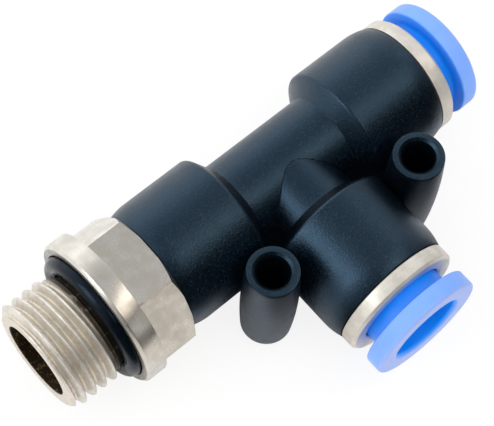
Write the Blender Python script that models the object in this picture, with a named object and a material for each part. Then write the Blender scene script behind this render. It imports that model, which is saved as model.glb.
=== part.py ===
"""Push-to-connect tee for 8 mm air tube, with a G1/4 threaded stud in line with one tube port.

The run lies along X, with the stud at -X and one tube port at +X. The branch port points
along -Y, and two screw bosses stand along Z in the corners beside it. The object's origin is
the bottom centre of its box, so the crossing of the two axes stands above and beside it.

Every turned piece is drawn as a profile of (distance along its port's axis from the crossing,
radius), in millimetres, and spun about that axis.
"""

import math

import bmesh
import bpy
from mathutils import Matrix, Vector

MM = 0.001

# Facets round a full turn
HOUSING_FACETS = 40
HOLLOW_FACETS = 28
RING_FACETS = 40
SLEEVE_FACETS = 32
INNER_FACETS = 20
CLAW_FACETS = 50
BOSS_FACETS = 24
FACE_SEAL_FACETS = (40, 10)
STUD_SEAL_FACETS = (32, 8)

# Clearances
SEAT_GAP = 0.15
RUNNING_GAP = 0.10
SEAL_GAP = 0.10

# How far a cutter runs past the face that it opens
CUTTER_OVERRUN = 1.0

# The tube that the ports take
TUBE_RADIUS = 4.0
TUBE_CLEARANCE = 0.12

# Walls and steps of a port, from the tube outwards
TUBE_STOP_STEP = 0.92
NECK_WALL = 1.28
BRANCH_REDUCTION = 0.2
SLEEVE_WALL = 0.83
BEAD_HEIGHT = 0.5
BEAD_CLEARANCE = 0.3
GUIDE_RING_WALL = 0.5
SEAL_POCKET_STEP = 0.8
BARREL_WALL = 1.1

# Housing, outside
SHOULDER_START = 6.6
SHOULDER_LENGTH = 1.5
SHOULDER_ROUNDING = 0.5
BARREL_CROWN_LENGTH = 2.2
BARREL_CROWN_DROP = 0.36
PORT_END = 18.05
STUD_BARREL_END = 18.35
BARREL_EDGE_CHAMFER = 0.12

# Housing, screw bosses and the webs that tie them to the barrels
BOSS_BESIDE_BRANCH = 2.83
BOSS_BESIDE_RUN = 2.72
BOSS_HALF_HEIGHT = 6.96
BOSS_END_RADIUS = 2.85
BOSS_MIDDLE_SWELL = 0.27
BOSS_EDGE_CHAMFER = 0.12
SCREW_HOLE_RADIUS = 1.7
SCREW_HOLE_CHAMFER = 0.5
WEB_THICKNESS = 2.6
WEB_SINK = 0.8

# Housing, inside
TUBE_STOP = 5.5
CARTRIDGE_POCKET_DEPTH = 4.05
SEAL_POCKET_DEPTH = 3.4
STUD_POCKET_START = 8.3
STUD_BARREL_WALL = 1.6
ENTRY_CHAMFER = 0.3

# Threaded stud
THREAD_MAJOR_RADIUS = 6.58
THREAD_RELIEF_DEPTH = 0.98
THREAD_RELIEF_LENGTH = 1.24
STUD_REACH = 7.84
STUD_WALL = 1.22
SPIGOT_WALL = 0.7
NOSE_CHAMFER = 0.75
STUD_BORE_CHAMFER = 0.12
STUD_BORE_DEPTH = 13.2
COLLAR_RIM = 1.09
COLLAR_LENGTH = 2.46
COLLAR_CHAMFER = 0.35
HEX_LENGTH = 4.9
HEX_ACROSS_FLATS = 14.8
HEX_CORNER_TRIM = 0.065
HEX_ANGLE = 58.5
HEX_CHAMFER_INSET = 0.1
HEX_CHAMFER_ANGLE = 30.0
SPIGOT_END_CHAMFER = 0.4
FACE_GROOVE_DEPTH = 1.0

# Seals of the stud
FACE_SEAL_SECTION_RADIUS = 1.0
STUD_SEAL_SECTION_RADIUS = 0.7
STUD_SEAL_SHOULDER = 1.7
STUD_SEAL_GROOVE_WIDTH = 1.9

# Split ring that keeps the stud in the housing
RETAINER_FROM_END = 4.35
RETAINER_WIDTH = 0.8
RETAINER_IN_STUD = 0.7
RETAINER_IN_HOUSING = 0.4
RETAINER_OPENING_ANGLE = 50.0
RETAINER_GROOVE_FLOOR_GAP = 0.35

# Guide ring
GUIDE_RING_INSET = 0.05
GUIDE_RING_LENGTH = 1.8
GUIDE_RING_SPIGOT_LENGTH = 2.3
GUIDE_RING_CHAMFER = 0.32
GUIDE_RING_MOUTH_LENGTH = 1.4
GUIDE_RING_MOUTH_CHAMFER = 0.22
GUIDE_RING_BARB = 0.12

# Release sleeve
SLEEVE_STROKE = 1.4
SLEEVE_END_PLAY = 0.3
SLEEVE_FLANGE_THICKNESS = 2.1
SLEEVE_FLANGE_INSET = 0.31
SLEEVE_FLANGE_ROUNDING = 0.3
SLEEVE_ROOT_FILLET = 0.5
SLEEVE_HOLE_CHAMFER = 0.4
BEAD_LENGTH = 0.9
SLEEVE_NOSE_WALL = 0.7
SLEEVE_SLOT_WIDTH = 0.8
SLEEVE_SLOT_LENGTH = 2.6
SLEEVE_SLOTS = 4

# Lock claws and their spacer
CLAW_THICKNESS = 0.3
CLAW_FINGER_HEIGHT = 1.15
CLAW_BITE = 0.05
CLAW_ANGLE = 37.0
CLAW_SLOTS = 10
CLAW_SLOT_WIDTH = 0.7
CLAW_SLOT_DEPTH = 0.95
SPACER_CLEARANCE = 0.2

# Tube seal
SEAL_END_PLAY = 0.4
SEAL_LIP_THICKNESS = 0.5
SEAL_LIP_SQUEEZE = 0.15
SEAL_LIP_LENGTH = 1.5
SEAL_BEVEL = 0.75

# Radii that follow, from the tube outwards
SLEEVE_HOLE_RADIUS = TUBE_RADIUS + TUBE_CLEARANCE
TUBE_SOCKET_RADIUS = TUBE_RADIUS + TUBE_CLEARANCE
RUN_PASSAGE_RADIUS = TUBE_SOCKET_RADIUS - TUBE_STOP_STEP
BRANCH_PASSAGE_RADIUS = RUN_PASSAGE_RADIUS - BRANCH_REDUCTION
NECK_RADIUS = TUBE_SOCKET_RADIUS + NECK_WALL
BRANCH_NECK_RADIUS = NECK_RADIUS - BRANCH_REDUCTION
SLEEVE_NECK_RADIUS = SLEEVE_HOLE_RADIUS + SLEEVE_WALL
GUIDE_MOUTH_RADIUS = SLEEVE_NECK_RADIUS + SEAT_GAP
BEAD_RADIUS = SLEEVE_NECK_RADIUS + BEAD_HEIGHT
GUIDE_CHAMBER_RADIUS = BEAD_RADIUS + BEAD_CLEARANCE
SPIGOT_OF_GUIDE_RADIUS = GUIDE_CHAMBER_RADIUS + GUIDE_RING_WALL
CARTRIDGE_POCKET_RADIUS = SPIGOT_OF_GUIDE_RADIUS + SEAT_GAP
SEAL_POCKET_RADIUS = CARTRIDGE_POCKET_RADIUS - SEAL_POCKET_STEP
SEAL_OUTER_RADIUS = SEAL_POCKET_RADIUS - SEAL_GAP
BARREL_RADIUS = CARTRIDGE_POCKET_RADIUS + BARREL_WALL
GUIDE_RING_RADIUS = BARREL_RADIUS - BARREL_CROWN_DROP - GUIDE_RING_INSET
SLEEVE_FLANGE_RADIUS = GUIDE_RING_RADIUS - SLEEVE_FLANGE_INSET
CLAW_ROOT_RADIUS = TUBE_RADIUS + CLAW_FINGER_HEIGHT
CLAW_TIP_RADIUS = TUBE_RADIUS - CLAW_BITE
BOSS_MIDDLE_RADIUS = BOSS_END_RADIUS + BOSS_MIDDLE_SWELL
BOSS_ALONG_RUN = BARREL_RADIUS + BOSS_BESIDE_BRANCH
BOSS_FROM_RUN = BARREL_RADIUS + BOSS_BESIDE_RUN

# Distances from the crossing that follow, along a port
CARTRIDGE_POCKET_START = PORT_END - CARTRIDGE_POCKET_DEPTH
SEAL_POCKET_START = CARTRIDGE_POCKET_START - SEAL_POCKET_DEPTH
SEAL_START = SEAL_POCKET_START + SEAT_GAP
SEAL_END = CARTRIDGE_POCKET_START - SEAL_END_PLAY
GUIDE_RING_START = PORT_END + SEAT_GAP
GUIDE_RING_END = GUIDE_RING_START + GUIDE_RING_LENGTH
GUIDE_RING_INNER_END = GUIDE_RING_START - GUIDE_RING_SPIGOT_LENGTH
GUIDE_MOUTH_START = GUIDE_RING_END - GUIDE_RING_MOUTH_LENGTH
CLAW_OUTER_FACE = GUIDE_RING_INNER_END - SEAT_GAP
CLAW_INNER_FACE = CLAW_OUTER_FACE - CLAW_THICKNESS
SPACER_START = CARTRIDGE_POCKET_START + SEAT_GAP
SPACER_END = CLAW_INNER_FACE - SEAT_GAP
SLEEVE_NOSE = CLAW_OUTER_FACE + SLEEVE_STROKE - SEAT_GAP
BEAD_END = GUIDE_MOUTH_START - SEAT_GAP
BEAD_START = BEAD_END - BEAD_LENGTH
SLEEVE_FLANGE_BACK = GUIDE_RING_END + SLEEVE_STROKE + SLEEVE_END_PLAY
SLEEVE_FRONT = SLEEVE_FLANGE_BACK + SLEEVE_FLANGE_THICKNESS

# Sizes of the stud that follow
SPIGOT_RADIUS = BARREL_RADIUS - STUD_BARREL_WALL - RUNNING_GAP
STUD_POCKET_RADIUS = SPIGOT_RADIUS + RUNNING_GAP
SPIGOT_INNER_END = STUD_POCKET_START + SEAT_GAP
STUD_SEAL_START = STUD_POCKET_START + STUD_SEAL_SHOULDER
STUD_SEAL_END = STUD_SEAL_START + STUD_SEAL_GROOVE_WIDTH
STUD_SEAL_PLACE = (STUD_SEAL_START + STUD_SEAL_END) / 2.0
STUD_SEAL_RADIUS = STUD_POCKET_RADIUS - SEAL_GAP - STUD_SEAL_SECTION_RADIUS
STUD_SEAL_FLOOR = STUD_SEAL_RADIUS - STUD_SEAL_SECTION_RADIUS - SEAL_GAP
STUD_PASSAGE_RADIUS = STUD_SEAL_FLOOR - SPIGOT_WALL
RETAINER_START = STUD_BARREL_END - RETAINER_FROM_END
RETAINER_END = RETAINER_START + RETAINER_WIDTH
RETAINER_INNER_RADIUS = SPIGOT_RADIUS - RETAINER_IN_STUD
RETAINER_OUTER_RADIUS = SPIGOT_RADIUS + RETAINER_IN_HOUSING
HEX_START = STUD_BARREL_END + SEAT_GAP
HEX_CORNER_RADIUS = HEX_ACROSS_FLATS / math.sqrt(3.0)
HEX_BLANK_RADIUS = HEX_CORNER_RADIUS - HEX_CORNER_TRIM
HEX_CHAMFER_RADIUS = HEX_ACROSS_FLATS / 2.0 + HEX_CHAMFER_INSET
COLLAR_START = HEX_START + HEX_LENGTH
SEAL_FACE = COLLAR_START + COLLAR_LENGTH
THREAD_START = SEAL_FACE + THREAD_RELIEF_LENGTH
STUD_NOSE = SEAL_FACE + STUD_REACH
THREAD_ROOT_RADIUS = THREAD_MAJOR_RADIUS - THREAD_RELIEF_DEPTH
STUD_BORE_RADIUS = THREAD_ROOT_RADIUS - STUD_WALL
FACE_SEAL_RADIUS = THREAD_ROOT_RADIUS + SEAL_GAP + FACE_SEAL_SECTION_RADIUS
FACE_GROOVE_RADIUS = FACE_SEAL_RADIUS + FACE_SEAL_SECTION_RADIUS + SEAL_GAP
FACE_GROOVE_FLOOR = SEAL_FACE - FACE_GROOVE_DEPTH
FACE_SEAL_PLACE = FACE_GROOVE_FLOOR + SEAT_GAP + FACE_SEAL_SECTION_RADIUS
COLLAR_RADIUS = FACE_GROOVE_RADIUS + COLLAR_RIM

# The crossing of the two axes, seen from the bottom centre of the object's box
CROSSING = Vector((
    (STUD_NOSE - SLEEVE_FRONT) / 2.0,
    (SLEEVE_FRONT - COLLAR_RADIUS) / 2.0,
    COLLAR_RADIUS,
))


def clear_scene():
    for obj in list(bpy.data.objects):
        bpy.data.objects.remove(obj, do_unlink=True)


def material(name, colour, roughness, metallic):
    made = bpy.data.materials.new(name)
    made.use_nodes = True
    shader = made.node_tree.nodes["Principled BSDF"]
    shader.inputs["Base Color"].default_value = (*colour, 1.0)
    shader.inputs["Roughness"].default_value = roughness
    shader.inputs["Metallic"].default_value = metallic
    return made


def arc(centre, radius, start, end, steps):
    """Points of an arc, with angles in degrees counted from the port's axis towards the radius."""
    points = []
    for step in range(steps + 1):
        angle = math.radians(start + (end - start) * step / steps)
        points.append((
            centre[0] + radius * math.cos(angle),
            centre[1] + radius * math.sin(angle),
        ))
    return points


def link_mesh(name, bm, finish, parent):
    mesh = bpy.data.meshes.new(name)
    bm.to_mesh(mesh)
    bm.free()
    obj = bpy.data.objects.new(name, mesh)
    bpy.context.scene.collection.objects.link(obj)
    obj.parent = parent
    if finish is not None:
        mesh.materials.append(finish)
    mesh.shade_smooth()
    mesh.set_sharp_from_angle(angle=math.radians(30.0))
    return obj


def spun(profile, facets, turn=360.0):
    """The mesh of a profile of (along, radius) points spun about the X axis."""
    bm = bmesh.new()
    corners = [bm.verts.new(Vector((along, 0.0, radius)) * MM) for along, radius in profile]
    for index, corner in enumerate(corners):
        bm.edges.new((corner, corners[(index + 1) % len(corners)]))
    whole = turn == 360.0
    if not whole:
        bm.faces.new(corners)
    bmesh.ops.spin(
        bm,
        geom=bm.verts[:] + bm.edges[:] + bm.faces[:],
        cent=(0.0, 0.0, 0.0),
        axis=(1.0, 0.0, 0.0),
        angle=math.radians(turn),
        steps=facets,
        use_merge=whole,
    )
    bmesh.ops.remove_doubles(bm, verts=bm.verts[:], dist=1e-7)
    bmesh.ops.recalc_face_normals(bm, faces=bm.faces[:])
    return bm


def turned(name, profile, facets, finish, parent, turn=360.0):
    return link_mesh(name, spun(profile, facets, turn), finish, parent)


def boxes(spans):
    """A mesh of separate boxes, each given by two opposite corners and its turn about X."""
    bm = bmesh.new()
    for low, high, turn in spans:
        middle = (Vector(low) + Vector(high)) * 0.5 * MM
        size = (Vector(high) - Vector(low)) * MM
        place = Matrix.Rotation(math.radians(turn), 4, "X") @ Matrix.Translation(middle)
        bmesh.ops.create_cube(bm, size=1.0, matrix=place @ Matrix.Diagonal((*size, 1.0)))
    return bm


def helper(obj):
    obj.hide_render = True
    obj.display_type = "WIRE"
    return obj


def boolean(obj, other, operation):
    modifier = obj.modifiers.new(other.name, "BOOLEAN")
    modifier.object = other
    modifier.operation = operation
    modifier.solver = "EXACT"
    helper(other)


def axis_frame(name, parent, turn):
    """An empty at the crossing whose X axis points out of one port."""
    frame = bpy.data.objects.new(name, None)
    bpy.context.scene.collection.objects.link(frame)
    frame.parent = parent
    frame.rotation_euler = (0.0, 0.0, math.radians(turn))
    return frame


def shoulder(neck_radius, barrel_radius, start, steps=2):
    """The cone that widens a neck to a barrel, with its outer edge rounded."""
    end = start + SHOULDER_LENGTH
    slope = math.degrees(math.atan2(barrel_radius - neck_radius, SHOULDER_LENGTH))
    tangent = SHOULDER_ROUNDING * math.tan(math.radians(slope / 2.0))
    centre = (end + tangent, barrel_radius - SHOULDER_ROUNDING)
    return [(start, neck_radius)] + arc(centre, SHOULDER_ROUNDING, 90.0 + slope, 90.0, steps)


def barrel_outline(neck_radius, end, steps=2):
    """Outside of a barrel, from its neck to its end face, which it curves in to meet."""
    sweep = (BARREL_CROWN_LENGTH ** 2 + BARREL_CROWN_DROP ** 2) / (2.0 * BARREL_CROWN_DROP)
    centre = (end - BARREL_EDGE_CHAMFER - BARREL_CROWN_LENGTH, BARREL_RADIUS - sweep)
    tilt = math.degrees(math.asin(BARREL_CROWN_LENGTH / sweep))
    crown = arc(centre, sweep, 90.0, 90.0 - tilt, steps)
    edge_radius = BARREL_RADIUS - BARREL_CROWN_DROP - BARREL_EDGE_CHAMFER
    face = [(end, edge_radius), (end, 0.0)]
    return shoulder(neck_radius, BARREL_RADIUS, SHOULDER_START) + crown + face


def port_hollow(passage_radius):
    """Inside of a tube port, from the passage to past its end face."""
    beyond = PORT_END + CUTTER_OVERRUN
    return [
        (TUBE_STOP, passage_radius),
        (TUBE_STOP, TUBE_SOCKET_RADIUS),
        (SEAL_POCKET_START, TUBE_SOCKET_RADIUS),
        (SEAL_POCKET_START, SEAL_POCKET_RADIUS),
        (CARTRIDGE_POCKET_START, SEAL_POCKET_RADIUS),
        (CARTRIDGE_POCKET_START, CARTRIDGE_POCKET_RADIUS),
        (PORT_END - ENTRY_CHAMFER, CARTRIDGE_POCKET_RADIUS),
        (beyond, CARTRIDGE_POCKET_RADIUS + ENTRY_CHAMFER + CUTTER_OVERRUN),
        (beyond, 0.0),
    ]


def stud_hollow():
    """Inside of the stud's barrel, with the groove of the split ring."""
    beyond = STUD_BARREL_END + CUTTER_OVERRUN
    groove_radius = RETAINER_OUTER_RADIUS + SEAT_GAP
    return [
        (STUD_POCKET_START, RUN_PASSAGE_RADIUS),
        (STUD_POCKET_START, STUD_POCKET_RADIUS),
        (RETAINER_START - SEAT_GAP, STUD_POCKET_RADIUS),
        (RETAINER_START - SEAT_GAP, groove_radius),
        (RETAINER_END + SEAT_GAP, groove_radius),
        (RETAINER_END + SEAT_GAP, STUD_POCKET_RADIUS),
        (STUD_BARREL_END - ENTRY_CHAMFER, STUD_POCKET_RADIUS),
        (beyond, STUD_POCKET_RADIUS + ENTRY_CHAMFER + CUTTER_OVERRUN),
        (beyond, 0.0),
    ]


def mirrored(profile):
    return [(-along, radius) for along, radius in reversed(profile)]


def boss_outline():
    half = BOSS_HALF_HEIGHT
    upper = [
        (half - BOSS_EDGE_CHAMFER, BOSS_END_RADIUS),
        (half, BOSS_END_RADIUS - BOSS_EDGE_CHAMFER),
        (half, 0.0),
    ]
    return mirrored(upper) + [(0.0, BOSS_MIDDLE_RADIUS)] + upper


def screw_hole_outline():
    beyond = BOSS_HALF_HEIGHT + CUTTER_OVERRUN
    upper = [
        (BOSS_HALF_HEIGHT - SCREW_HOLE_CHAMFER, SCREW_HOLE_RADIUS),
        (beyond, SCREW_HOLE_RADIUS + SCREW_HOLE_CHAMFER + CUTTER_OVERRUN),
        (beyond, 0.0),
    ]
    return mirrored(upper) + upper


def housing(root, branch, finish):
    """The moulded body: two barrels in line, the branch barrel, two bosses and their webs."""
    run_outline = mirrored(barrel_outline(NECK_RADIUS, STUD_BARREL_END))
    run_outline += barrel_outline(NECK_RADIUS, PORT_END)
    body = turned("housing", run_outline, HOUSING_FACETS, finish, root)

    branch_outline = [(0.0, 0.0), (0.0, BRANCH_NECK_RADIUS)]
    branch_outline += barrel_outline(BRANCH_NECK_RADIUS, PORT_END)
    branch_body = turned("branch_body", branch_outline, HOUSING_FACETS, None, branch)
    boolean(body, branch_body, "UNION")

    holes = []
    for side, sign in (("stud", -1.0), ("port", 1.0)):
        place = Vector((sign * BOSS_ALONG_RUN, -BOSS_FROM_RUN, 0.0)) * MM
        inner = NECK_RADIUS - WEB_SINK
        ends = sorted((sign * inner, sign * BOSS_ALONG_RUN))
        low = (ends[0], -BOSS_FROM_RUN, -WEB_THICKNESS / 2.0)
        high = (ends[1], -inner, WEB_THICKNESS / 2.0)
        web = link_mesh(side + "_boss_web", boxes([(low, high, 0.0)]), None, root)
        boolean(body, web, "UNION")
        boss = turned(side + "_boss", boss_outline(), BOSS_FACETS, None, root)
        hole = turned(side + "_boss_hole", screw_hole_outline(), BOSS_FACETS, None, root)
        for piece in (boss, hole):
            piece.location = place
            piece.rotation_euler = (0.0, math.radians(-90.0), 0.0)
        boolean(body, boss, "UNION")
        holes.append(hole)

    run_hollow = mirrored(stud_hollow()) + port_hollow(RUN_PASSAGE_RADIUS)
    hollows = [turned("run_hollow", run_hollow, HOLLOW_FACETS, None, root)]
    branch_hollow = [(0.0, 0.0), (0.0, BRANCH_PASSAGE_RADIUS)] + port_hollow(BRANCH_PASSAGE_RADIUS)
    hollows.append(turned("branch_hollow", branch_hollow, HOLLOW_FACETS, None, branch))
    for cutter in hollows + holes:
        boolean(body, cutter, "DIFFERENCE")
    return body


def hex_flats_cutter(parent):
    """What lies outside the hexagon, between the housing and the collar."""
    bm = bmesh.new()
    ends = []
    for along in (HEX_START - CUTTER_OVERRUN, COLLAR_START):
        loops = []
        for radius in (HEX_CORNER_RADIUS, 2.0 * HEX_CORNER_RADIUS):
            loop = []
            for corner in range(6):
                angle = math.radians(HEX_ANGLE + 60.0 * corner)
                place = Vector((along, radius * math.cos(angle), radius * math.sin(angle)))
                loop.append(bm.verts.new(place * MM))
            loops.append(loop)
        ends.append(loops)
    for corner in range(6):
        after = (corner + 1) % 6
        near_inner, near_outer = ends[0]
        far_inner, far_outer = ends[1]
        bm.faces.new((near_inner[corner], near_inner[after], near_outer[after], near_outer[corner]))
        bm.faces.new((far_inner[corner], far_outer[corner], far_outer[after], far_inner[after]))
        bm.faces.new((near_inner[corner], far_inner[corner], far_inner[after], near_inner[after]))
        bm.faces.new((near_outer[corner], near_outer[after], far_outer[after], far_outer[corner]))
    bmesh.ops.recalc_face_normals(bm, faces=bm.faces[:])
    return link_mesh("hex_flats", bm, None, parent)


def threaded_stud(port, finish):
    """Turned brass stud: thread, face groove, collar, hexagon and the spigot inside the housing."""
    hex_chamfer = math.tan(math.radians(HEX_CHAMFER_ANGLE))
    hex_run_out = (HEX_BLANK_RADIUS - HEX_CHAMFER_RADIUS) * hex_chamfer
    retainer_floor = RETAINER_INNER_RADIUS - RETAINER_GROOVE_FLOOR_GAP
    bore_end = STUD_NOSE - STUD_BORE_DEPTH
    bore_step = STUD_BORE_RADIUS - STUD_PASSAGE_RADIUS
    thread_lead = THREAD_MAJOR_RADIUS - THREAD_ROOT_RADIUS
    profile = [
        (SPIGOT_INNER_END, STUD_PASSAGE_RADIUS),
        (SPIGOT_INNER_END, SPIGOT_RADIUS - SPIGOT_END_CHAMFER),
        (SPIGOT_INNER_END + SPIGOT_END_CHAMFER, SPIGOT_RADIUS),
        (STUD_SEAL_START, SPIGOT_RADIUS),
        (STUD_SEAL_START, STUD_SEAL_FLOOR),
        (STUD_SEAL_END, STUD_SEAL_FLOOR),
        (STUD_SEAL_END, SPIGOT_RADIUS),
        (RETAINER_START - RUNNING_GAP, SPIGOT_RADIUS),
        (RETAINER_START - RUNNING_GAP, retainer_floor),
        (RETAINER_END + RUNNING_GAP, retainer_floor),
        (RETAINER_END + RUNNING_GAP, SPIGOT_RADIUS),
        (HEX_START, SPIGOT_RADIUS),
        (HEX_START, HEX_CHAMFER_RADIUS),
        (HEX_START + hex_run_out, HEX_BLANK_RADIUS),
        (COLLAR_START, HEX_BLANK_RADIUS),
        (COLLAR_START, COLLAR_RADIUS),
        (SEAL_FACE - COLLAR_CHAMFER, COLLAR_RADIUS),
        (SEAL_FACE, COLLAR_RADIUS - COLLAR_CHAMFER),
        (SEAL_FACE, FACE_GROOVE_RADIUS),
        (FACE_GROOVE_FLOOR, FACE_GROOVE_RADIUS),
        (FACE_GROOVE_FLOOR, THREAD_ROOT_RADIUS),
        (THREAD_START, THREAD_ROOT_RADIUS),
        (THREAD_START + thread_lead / 2.0, THREAD_MAJOR_RADIUS),
        (STUD_NOSE - NOSE_CHAMFER, THREAD_MAJOR_RADIUS),
        (STUD_NOSE, THREAD_MAJOR_RADIUS - NOSE_CHAMFER),
        (STUD_NOSE, STUD_BORE_RADIUS + STUD_BORE_CHAMFER),
        (STUD_NOSE - STUD_BORE_CHAMFER, STUD_BORE_RADIUS),
        (bore_end + bore_step, STUD_BORE_RADIUS),
        (bore_end, STUD_PASSAGE_RADIUS),
    ]
    stud = turned("threaded_stud", profile, RING_FACETS, finish, port)
    boolean(stud, hex_flats_cutter(port), "DIFFERENCE")
    return stud


def seal_ring(name, place, ring_radius, section_radius, facets, finish, port):
    """A round-section rubber ring. facets gives those round the ring and round its section."""
    section = arc((place, ring_radius), section_radius, 0.0, 360.0, facets[1])[:-1]
    return turned(name, section, facets[0], finish, port)


def stud_retaining_ring(port, finish):
    """A split ring of square wire, half in the stud's groove and half in the housing's."""
    section = [
        (RETAINER_START, RETAINER_INNER_RADIUS),
        (RETAINER_END, RETAINER_INNER_RADIUS),
        (RETAINER_END, RETAINER_OUTER_RADIUS),
        (RETAINER_START, RETAINER_OUTER_RADIUS),
    ]
    turn = 360.0 - RETAINER_OPENING_ANGLE
    return turned("stud_retaining_ring", section, INNER_FACETS, finish, port, turn)


def guide_ring(prefix, port, finish):
    """Metal ring pressed into the port: it closes the housing, guides and holds the sleeve."""
    barb_root = SPIGOT_OF_GUIDE_RADIUS - GUIDE_RING_BARB
    barb_end = (GUIDE_RING_INNER_END + GUIDE_RING_START) / 2.0
    outer_edge = GUIDE_RING_RADIUS - GUIDE_RING_CHAMFER
    profile = [
        (GUIDE_RING_INNER_END, GUIDE_CHAMBER_RADIUS),
        (GUIDE_RING_INNER_END, barb_root),
        (barb_end, SPIGOT_OF_GUIDE_RADIUS),
        (barb_end, barb_root),
        (GUIDE_RING_START, barb_root),
        (GUIDE_RING_START, GUIDE_RING_RADIUS),
        (GUIDE_RING_END - GUIDE_RING_CHAMFER, GUIDE_RING_RADIUS),
        (GUIDE_RING_END, outer_edge),
        (GUIDE_RING_END, GUIDE_MOUTH_RADIUS + GUIDE_RING_MOUTH_CHAMFER),
        (GUIDE_RING_END - GUIDE_RING_MOUTH_CHAMFER, GUIDE_MOUTH_RADIUS),
        (GUIDE_MOUTH_START, GUIDE_MOUTH_RADIUS),
        (GUIDE_MOUTH_START, GUIDE_CHAMBER_RADIUS),
    ]
    return turned(prefix + "_guide_ring", profile, RING_FACETS, finish, port)


def release_sleeve(prefix, port, finish):
    """Push button round the tube: pressed in, its nose spreads the claws and frees the tube."""
    nose_radius = SLEEVE_HOLE_RADIUS + SLEEVE_NOSE_WALL
    flange_inner = SLEEVE_FLANGE_RADIUS - SLEEVE_FLANGE_ROUNDING
    root_centre = (SLEEVE_FLANGE_BACK - SLEEVE_ROOT_FILLET, SLEEVE_NECK_RADIUS + SLEEVE_ROOT_FILLET)
    front_centre = (SLEEVE_FRONT - SLEEVE_FLANGE_ROUNDING, flange_inner)
    profile = [
        (SLEEVE_NOSE, SLEEVE_HOLE_RADIUS),
        (SLEEVE_NOSE, nose_radius),
        (BEAD_START, nose_radius),
        (BEAD_START + BEAD_HEIGHT, BEAD_RADIUS),
        (BEAD_END, BEAD_RADIUS),
        (BEAD_END, SLEEVE_NECK_RADIUS),
    ]
    profile += arc(root_centre, SLEEVE_ROOT_FILLET, -90.0, 0.0, 2)
    profile += [
        (SLEEVE_FLANGE_BACK, SLEEVE_FLANGE_RADIUS - SLEEVE_FLANGE_ROUNDING / 2.0),
        (SLEEVE_FLANGE_BACK + SLEEVE_FLANGE_ROUNDING / 2.0, SLEEVE_FLANGE_RADIUS),
    ]
    profile += arc(front_centre, SLEEVE_FLANGE_ROUNDING, 90.0, 0.0, 3)[1:]
    profile += [
        (SLEEVE_FRONT, SLEEVE_HOLE_RADIUS + SLEEVE_HOLE_CHAMFER),
        (SLEEVE_FRONT - SLEEVE_HOLE_CHAMFER, SLEEVE_HOLE_RADIUS),
    ]
    sleeve = turned(prefix + "_release_sleeve", profile, SLEEVE_FACETS, finish, port)
    slots = []
    for slot in range(SLEEVE_SLOTS):
        below = SLEEVE_HOLE_RADIUS - CUTTER_OVERRUN
        low = (SLEEVE_NOSE - CUTTER_OVERRUN, -SLEEVE_SLOT_WIDTH / 2.0, below)
        high = (SLEEVE_NOSE + SLEEVE_SLOT_LENGTH, SLEEVE_SLOT_WIDTH / 2.0, BEAD_RADIUS + CUTTER_OVERRUN)
        slots.append((low, high, (slot + 0.5) * 360.0 / SLEEVE_SLOTS))
    cutter = link_mesh(prefix + "_sleeve_slots", boxes(slots), None, port)
    boolean(sleeve, cutter, "DIFFERENCE")
    return sleeve


def claw_reach():
    """How far the fingers of the claws lean inwards along the port's axis."""
    return (CLAW_ROOT_RADIUS - CLAW_TIP_RADIUS) / math.tan(math.radians(CLAW_ANGLE))


def lock_claws(prefix, port, finish):
    """Spring steel washer with a ring of leaning teeth that grip the tube."""
    rim = CARTRIDGE_POCKET_RADIUS - SEAT_GAP
    reach = claw_reach()
    edge = CLAW_THICKNESS / math.cos(math.radians(CLAW_ANGLE))
    profile = [
        (CLAW_INNER_FACE, rim),
        (CLAW_INNER_FACE, CLAW_ROOT_RADIUS + edge),
        (CLAW_INNER_FACE - reach, CLAW_TIP_RADIUS + edge),
        (CLAW_OUTER_FACE - reach, CLAW_TIP_RADIUS),
        (CLAW_OUTER_FACE, CLAW_ROOT_RADIUS),
        (CLAW_OUTER_FACE, rim),
    ]
    claws = turned(prefix + "_lock_claws", profile, CLAW_FACETS, finish, port)
    slots = []
    for slot in range(CLAW_SLOTS):
        below = CLAW_TIP_RADIUS - CUTTER_OVERRUN
        low = (CLAW_INNER_FACE - reach - CUTTER_OVERRUN, -CLAW_SLOT_WIDTH / 2.0, below)
        high = (CLAW_OUTER_FACE + CUTTER_OVERRUN, CLAW_SLOT_WIDTH / 2.0, CLAW_TIP_RADIUS + CLAW_SLOT_DEPTH)
        slots.append((low, high, slot * 360.0 / CLAW_SLOTS))
    cutter = link_mesh(prefix + "_claw_slots", boxes(slots), None, port)
    boolean(claws, cutter, "DIFFERENCE")
    return claws


def claw_spacer(prefix, port, finish):
    """Ring between the housing's step and the claws, with a cone that leaves the teeth free."""
    cone = math.tan(math.radians(CLAW_ANGLE))
    edge = CLAW_THICKNESS / math.cos(math.radians(CLAW_ANGLE))
    outer_cone = CLAW_ROOT_RADIUS + edge + SPACER_CLEARANCE
    inner_cone = outer_cone - (SPACER_END - SPACER_START) * cone
    rim = CARTRIDGE_POCKET_RADIUS - SEAT_GAP
    profile = [
        (SPACER_START, inner_cone),
        (SPACER_START, rim),
        (SPACER_END, rim),
        (SPACER_END, outer_cone),
    ]
    return turned(prefix + "_claw_spacer", profile, INNER_FACETS, finish, port)


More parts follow.
